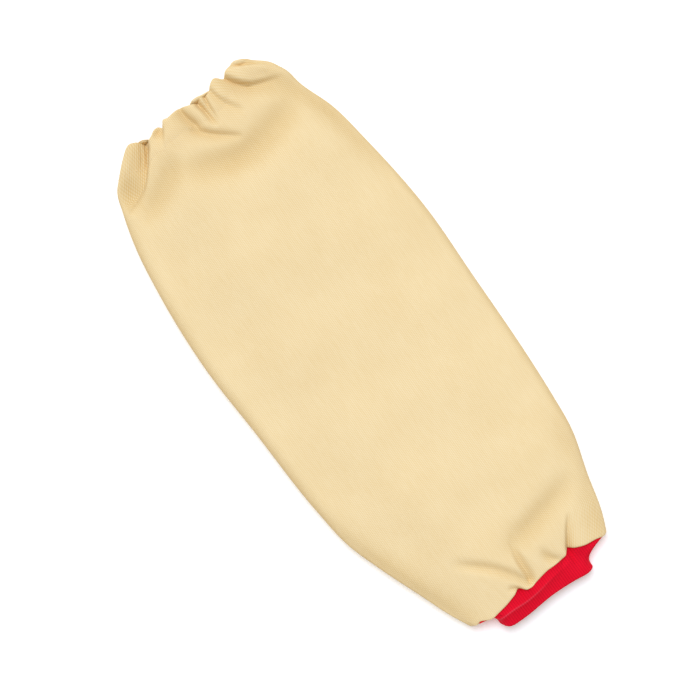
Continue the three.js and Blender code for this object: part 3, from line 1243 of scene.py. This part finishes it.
@dataclass
class DrillSleeve:
    """The drill: a tube turned in at the wrist seam and turned over the elastic at the mouth.

    Attributes:
        form: The shape in which it lies.
        hem_depth: Distance of the hem's stitching from the mouth's edge.
        cut_width: Width of the cut cloth, round the sleeve.
        wall: Thickness of the drill.
        hem_wall: Thickness of the hem, with two layers of drill and the elastic between them.
        hem_swell: How far the elastic lifts the hem's outer layer.
        groove: Depth of the groove that the stitching draws.
        groove_reach: Reach of that groove to each side.
        turn_in: Radius of the edge that is turned in at the seam.
        allowance: Length of cloth turned in behind the seam.
        fine_step: Distance between rows near the ends.
        coarse_step: Distance between rows in the middle.
        step_reach: Distances from an end where rows are still fine and fully coarse.
        behind_rows: Rows behind the seam.
        turn_rows: Rows round the seam's edge and round the mouth's edge.
        inside_rows: Rows inside the hem.
        top_columns: Faces across the top and the sides' upper halves.
        under_columns: Faces across the rest.
    """

    form: SleeveForm
    hem_depth: float = 0.014
    cut_width: float = 0.375
    wall: float = 0.0010
    hem_wall: float = 0.0032
    hem_swell: float = 0.0005
    groove: float = 0.00012
    groove_reach: float = 0.0012
    turn_in: float = 0.0012
    allowance: float = 0.004
    fine_step: float = 0.0011
    coarse_step: float = 0.006
    step_reach: Sizes = (0.03, 0.09)
    behind_rows: int = 4
    turn_rows: int = 7
    inside_rows: int = 12
    top_columns: int = 196
    under_columns: int = 56

    def turns(self) -> np.ndarray:
        """Share out the way round.

        Returns:
            The shares, closer together on the top.
        """
        quarter = self.under_columns / 2.0
        columns = np.arange(self.top_columns + self.under_columns + 1)
        corners = [0, quarter, quarter + self.top_columns, columns[-1]]
        quarters = [0.0, 0.25, 0.75, 1.0]
        return np.interp(columns, corners, quarters)

    def body_places(self, start: float, end: float) -> np.ndarray:
        """Share out the rows along the outside of the sleeve.

        Args:
            start: Place of the first row, at the seam.
            end: Place of the last row, at the mouth.

        Returns:
            The places, closer together near both ends.
        """
        places = [start]
        while places[-1] < end:
            apart = min(places[-1] - start, end - places[-1])
            wide = float(ease(np.array(apart), *self.step_reach))
            places.append(places[-1] + self.fine_step + (self.coarse_step - self.fine_step) * wide)
        stretched = np.array(places)
        return start + (stretched - start) * (end - start) / (stretched[-1] - start)

    def profile(self) -> Profile:
        """Lay out the drill's way from behind the seam, up the outside, over the mouth and down inside.

        Returns:
            The profile.
        """
        seam, mouth = self.form.seam_y, self.form.mouth_y
        stitching, edge = mouth - self.hem_depth, self.hem_wall / 2.0
        behind = seam + self.turn_in + np.linspace(self.allowance, 0.0, self.behind_rows)
        roll = half_turn(self.turn_rows)
        curl = roll[::-1]
        body = self.body_places(seam + self.turn_in, mouth - edge)
        inside = np.linspace(mouth - edge, stitching, self.inside_rows)
        outer = -self.hem_swell * np.sin(math.pi * np.clip((body - stitching) / self.hem_depth, 0.0, 1.0))
        outer += self.groove * np.exp(-(((body - stitching) / self.groove_reach) ** 2))
        return profile_of(
            np.concatenate([
                behind, seam + self.turn_in * (1.0 - np.sin(curl)), body,
                mouth - edge * (1.0 - np.sin(roll)), inside,
            ]),
            np.concatenate([
                np.full(len(behind), 2.0 * self.turn_in), self.turn_in * (1.0 - np.cos(curl)), outer,
                edge * (1.0 - np.cos(roll)), np.full(len(inside), self.hem_wall),
            ]),
        )

    def build(self, finish: DrillFinish) -> bpy.types.Object:
        """Build and dress the sleeve.

        Args:
            finish: The drill's finish.

        Returns:
            The piece.
        """
        way, turns = self.profile(), self.turns()
        points = self.form.rows(turns, way.places, way.insets)
        across = self.form.yarn_places(turns, way.places, points)
        # Painted shade in the drill's creases and on its steep sides, carried as a mark.
        shade_share = self.form.painted_shade_share(turns, way.places, points)
        marks = {PAINTED_LIGHT: shade_share, GATHER: self.form.gathered(points)}
        piece = roll_sheet("drill_sleeve", points, marks, across, way.lengths)
        piece.data.materials.append(finish.material("cotton_drill"))
        thicken = piece.modifiers.new("cloth wall", "SOLIDIFY")
        thicken.thickness = self.wall
        thicken.offset = -1.0
        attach(piece, BODY)
        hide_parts("sleeve_body", "upper_hem")
        return piece


@dataclass
class RibCuff:
    """The doubled rib-knit cuff, tucked up inside the drill at the seam.

    Attributes:
        form: The shape in which the sleeve lies.
        edge_y: Mean place of the free edge.
        rib_pitch: Distance from one rib to the next.
        free_top: The free edge on the top.
        free_under: The free edge on the underside.
        bend: The line on the top along which the cuff bends over.
        left: Reach to the left at the free edge.
        right: Reach to the right at the free edge.
        side: Side height at the free edge.
        crown: Crown at the free edge.
        draw_left: How fast the cuff's left side draws in below the seam.
        draw_right: How fast its right side draws in.
        tuck: How far inside the drill's face the cuff starts.
        sink: How much further it starts there under the bend.
        tuck_length: How far up inside the drill it reaches.
        wall: Thickness of the doubled knit.
        cut_width: Width of the knit round the wrist, before it is stretched onto the seam; not used.
        bend_height: Height of the bend.
        bend_above: Reach of the bend towards the seam.
        bend_below: Reach of the bend towards the free edge.
        bend_end: Where along x the bend starts and ends to run out.
        highlight_reach: Reach of the painted highlight, a paler line along the bend.
        highlight_end: Where along x the painted highlight starts and ends to run out.
        rib_relief: Height of the ribs.
        join: Share of the way round over which the ribs run out beside the knit's own join.
        tucked_rows: Rows of faces up inside the drill.
        face_rows: Rows of points from the seam to the free edge.
        turn_rows: Rows round the free edge.
        columns: Faces round the cuff.
    """

    form: SleeveForm
    edge_y: float
    rib_pitch: float
    free_top: EdgeLine = EdgeLine.in_mm(
        (-32.6, -193.4), (-31.3, -194.8), (-30.2, -196.3), (-28.6, -197.6), (-25.2, -198.7),
        (-19.5, -199), (8.5, -197.8), (23.2, -198.8), (33, -200.1), (38.5, -200),
    )
    free_under: EdgeLine = EdgeLine.in_mm(
        (-32.6, -193), (-31, -194.8), (-29, -196.8), (-25, -197.8), (0, -198), (38, -199.5),
    )
    bend: EdgeLine = EdgeLine.in_mm(
        (-40, -189), (-31, -190.1), (-19, -190.1), (-8.5, -190.6), (2, -189.7), (8.9, -188.5),
        (23.2, -187.5), (45, -187.5),
    )
    left: float = 0.0316
    right: float = 0.0386
    side: float = 0.0130
    crown: float = 0.0005
    draw_left: float = 4.2
    draw_right: float = 3.6
    tuck: float = 0.0026
    sink: float = 0.0008
    tuck_length: float = 0.008
    wall: float = 0.0022
    cut_width: float = 0.165
    bend_height: float = 0.0040
    bend_above: float = 0.006
    bend_below: float = 0.0045
    bend_end: Sizes = mm(6, 36)
    highlight_reach: float = 0.00045
    highlight_end: Sizes = mm(-10, 16)
    rib_relief: float = 0.00026
    join: float = 0.02
    tucked_rows: int = 5
    face_rows: int = 34
    turn_rows: int = 5
    columns: int = 672

    def section(self, share: float) -> Section:
        """Return the cuff's outer section below the seam.

        Args:
            share: Share of the way from the seam to the free edge.

        Returns:
            The section.
        """
        seam = self.form.section_at(self.form.seam_y)
        drawn_left, drawn = (1.0 - (1.0 - share) ** fast for fast in (self.draw_left, self.draw_right))
        return Section(
            self.form.seam_y,
            seam.left - self.tuck + (self.left - seam.left + self.tuck) * drawn_left,
            seam.right - self.tuck + (self.right - seam.right + self.tuck) * drawn,
            seam.side - 2.0 * self.tuck + (self.side - seam.side + 2.0 * self.tuck) * drawn,
            seam.crown + (self.crown - seam.crown) * drawn,
        )

    def row(self, turns: np.ndarray, share: float, inset: float) -> tuple[np.ndarray, np.ndarray]:
        """Return one row of points, tucked inside the drill where the share is negative.

        Args:
            turns: Shares of the way round.
            share: Share of the way from the seam to the free edge, or up into the sleeve.
            inset: How far inside the cuff's outer face the row lies.

        Returns:
            One point for each turn, and the places across the ribs.
        """
        below, tucked = max(share, 0.0), max(-share, 0.0)
        loose = (1.0 - below) ** self.draw_right
        loop = section_loop(self.section(below), turns)
        seam = self.form.seam_y + self.form.seam_edge(turns)
        free = self.free_under.at(loop.x)
        free = free + (self.free_top.at(loop.x) - free) * loop.top
        y = seam + tucked * self.tuck_length + (free - seam) * below
        off_bend = y - self.bend.at(loop.x)
        reach = np.where(off_bend > 0.0, self.bend_above, self.bend_below)
        bend = self.bend_height * np.exp(-np.abs(off_bend) / reach) - self.sink * loose
        bend *= 1.0 - ease(loop.x, *self.bend_end)
        pressed = self.form.press(loop.x, np.maximum(y, seam)) * loose
        ribs = self.rib_relief * (0.5 + 0.5 * np.cos(2.0 * math.pi * loop.around / self.rib_pitch))
        ribs *= ease(np.minimum(turns, 1.0 - turns), 0.0, self.join)
        inward = inset + ribs * (1.0 if inset < self.wall / 2.0 else -1.0)
        x = loop.x - loop.out_x * inward
        z = loop.z - loop.out_z * inward + loop.top * (bend - pressed) + self.tuck * loose
        return np.stack([x, y, z], axis=1), loop.around

    def painted_highlight_share(self, points: np.ndarray) -> np.ndarray:
        """Return how near each point of the top is to the line of the bend, which takes a painted
        highlight.

        Args:
            points: Rows by turns by three points of the knit.

        Returns:
            One value for each point, from 0 to 1 on the line.
        """
        off_bend = points[..., 1] - self.bend.at(points[..., 0])
        near = np.exp(-((off_bend / self.highlight_reach) ** 2)) * (1.0 - ease(points[..., 0], *self.highlight_end))
        return near * ease(points[..., 2], self.side / 2.0, self.side)

    def build(self, finish: RibFinish) -> bpy.types.Object:
        """Build and dress the cuff.

        Args:
            finish: The rib knit's finish.

        Returns:
            The piece.
        """
        radius, length = self.wall / 2.0, self.form.seam_y - self.edge_y
        tucked = np.linspace(-1.0, 0.0, self.tucked_rows + 1)[:-1]
        face = np.linspace(0.0, 1.0 - radius / length, self.face_rows)
        roll = half_turn(self.turn_rows)
        outside = np.concatenate([tucked, face])
        shares = np.concatenate([outside, 1.0 - radius / length * (1.0 - np.sin(roll)), outside[::-1]])
        insets = np.concatenate([
            np.zeros(len(outside)), radius * (1.0 - np.cos(roll)), np.full(len(outside), self.wall),
        ])
        way = profile_of(shares * np.where(shares < 0.0, self.tuck_length, length), insets)
        turns = np.linspace(0.0, 1.0, self.columns + 1)
        rows = [self.row(turns, share, inset) for share, inset in zip(shares[::-1], insets[::-1])]
        points, across = (np.array(part) for part in zip(*rows))
        # The painted highlight along the bend is carried as a mark.
        piece = roll_sheet("rib_cuff", points, {PAINTED_LIGHT: self.painted_highlight_share(points)}, across, way.lengths)
        piece.data.materials.append(finish.material("rib_knit"))
        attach(piece, BODY)
        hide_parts("wrist_cuff")
        return piece


@dataclass
class HemStitches:
    """The row of stitches that holds the hem.

    Attributes:
        form: The shape in which the sleeve lies.
        depth: Distance of the stitching from the mouth's edge.
        cut_width: Width of the cut cloth, round the sleeve.
        pitch: Distance from stitch to stitch on the cloth.
        length: Length of thread that shows.
        radius: Radius of the thread.
        sides: Faces round the thread.
        rings: Faces along the thread.
    """

    form: SleeveForm
    depth: float
    cut_width: float
    pitch: float = 0.0034
    length: float = 0.0015
    radius: float = 0.00022
    sides: int = 8
    rings: int = 6

    def build(self, finish: ThreadFinish) -> bpy.types.Object:
        """Build and dress the stitches as one joined mesh.

        Args:
            finish: The thread's finish.

        Returns:
            The piece.
        """
        count = round(self.cut_width / self.pitch)
        half = self.length / self.cut_width / 2.0
        middle = np.arange(count) / count
        place = np.array([self.form.mouth_y - self.depth])
        starts = self.form.rows((middle - half) % 1.0, place, np.zeros(1))[0]
        ends = self.form.rows((middle + half) % 1.0, place, np.zeros(1))[0]
        for points in (starts, ends):
            points[:, 2] = np.maximum(points[:, 2], self.radius)
        thread = bmesh.new()
        for start, end in zip(starts, ends):
            run = Vector(end) - Vector(start)
            turn = run.to_track_quat("Z", "Y").to_matrix().to_4x4()
            stretch = Matrix.Diagonal((self.radius, self.radius, run.length / 2.0 + self.radius, 1.0))
            middle_point = (Vector(start) + Vector(end)) / 2.0
            bmesh.ops.create_uvsphere(
                thread, u_segments=self.sides, v_segments=self.rings, radius=1.0,
                matrix=Matrix.Translation(middle_point) @ turn @ stretch,
            )
        for face in thread.faces:
            face.smooth = True
        piece = piece_of("hem_stitches", thread)
        piece.data.materials.append(finish.material("sewing_thread"))
        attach(piece, BODY)
        return piece


@dataclass
class Studio:
    """The pale floor, the soft light and the camera over the lying sleeve.

    Attributes:
        floor_half: Half the floor's width.
        target: Where the camera looks, on the plane of the sleeve's sides.
        up: The picture's upward direction in plan.
        view_width: Width of the picture on that plane.
        lens: The camera's focal length in millimetres.
        sensor: The camera's sensor width in millimetres.
        key_from: Where the key light stands.
        key_strength: Strength of the key light.
        key_spread: Width of the key light as an angle.
        key_colour: Colour of the key light, a little cool.
        room_strength: Strength of the light from all round.
        room_colour: Colour of that light, a little warm.
    """

    floor_half: float = 8.0
    target: Sizes = (-0.0056, 0.0063, 0.009)
    up: Sizes = (0.591, 0.807)
    view_width: float = 0.4515
    lens: float = 85.0
    sensor: float = 36.0
    key_from: Sizes = (0.25, 0.95, 2.3)
    key_strength: float = 2.15
    key_spread: float = 0.6
    key_colour: Colour = (0.92, 1.0, 1.14)
    room_strength: float = 0.47
    room_colour: Colour = (1.0, 0.925, 0.80)

    def build_floor(self, finish: FloorFinish) -> bpy.types.Object:
        """Build the floor as a plain sheet under the sleeve.

        Args:
            finish: The floor's finish.

        Returns:
            The floor.
        """
        sheet = bmesh.new()
        bmesh.ops.create_grid(sheet, x_segments=1, y_segments=1, size=self.floor_half)
        floor = piece_of("floor", sheet)
        floor.data.materials.append(finish.material("pale_floor"))
        return floor

    def build_camera(self) -> bpy.types.Object:
        """Hang the camera straight above the sleeve, turned as the picture is.

        Returns:
            The camera.
        """
        data = bpy.data.cameras.new("camera")
        data.lens = self.lens
        data.sensor_width = self.sensor
        camera = put_in_scene("camera", data)
        height = self.view_width * self.lens / self.sensor
        camera.location = Vector(self.target) + Vector((0.0, 0.0, height))
        camera.rotation_euler = (0.0, 0.0, math.atan2(-self.up[0], self.up[1]))
        bpy.context.scene.camera = camera
        return camera

    def build_light(self) -> None:
        """Light the sleeve softly from above, more from the mouth's side, and warmly from all round."""
        data = bpy.data.lights.new("key", "SUN")
        data.energy = self.key_strength
        data.angle = self.key_spread
        data.color = self.key_colour
        key = put_in_scene("key", data)
        key.location = self.key_from
        key.rotation_euler = Vector(self.key_from).to_track_quat("Z", "Y").to_euler()
        world = bpy.data.worlds.new("studio")
        world.use_nodes = True
        background = world.node_tree.nodes["Background"]
        background.inputs["Color"].default_value = (*self.room_colour, 1.0)
        background.inputs["Strength"].default_value = self.room_strength
        bpy.context.scene.world = world
        bpy.context.scene.view_settings.view_transform = "Standard"


def main() -> None:
    """Build the studio and every piece of the arm cover, in order."""
    logging.basicConfig(level=logging.INFO, format="%(name)s: %(message)s")
    studio = Studio()
    studio.build_camera()
    studio.build_floor(FloorFinish())
    studio.build_light()
    form = lying_sleeve()
    rib = RibFinish()
    sleeve = DrillSleeve(form)
    pieces = [
        sleeve.build(DrillFinish()),
        RibCuff(form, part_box("wrist_cuff")[0][1], rib.pitch).build(rib),
        HemStitches(form, sleeve.hem_depth, sleeve.cut_width).build(ThreadFinish()),
    ]
    for piece in pieces:
        log.info("%s: %d faces", piece.name, len(piece.data.polygons))


if __name__ == "__main__":
    main()
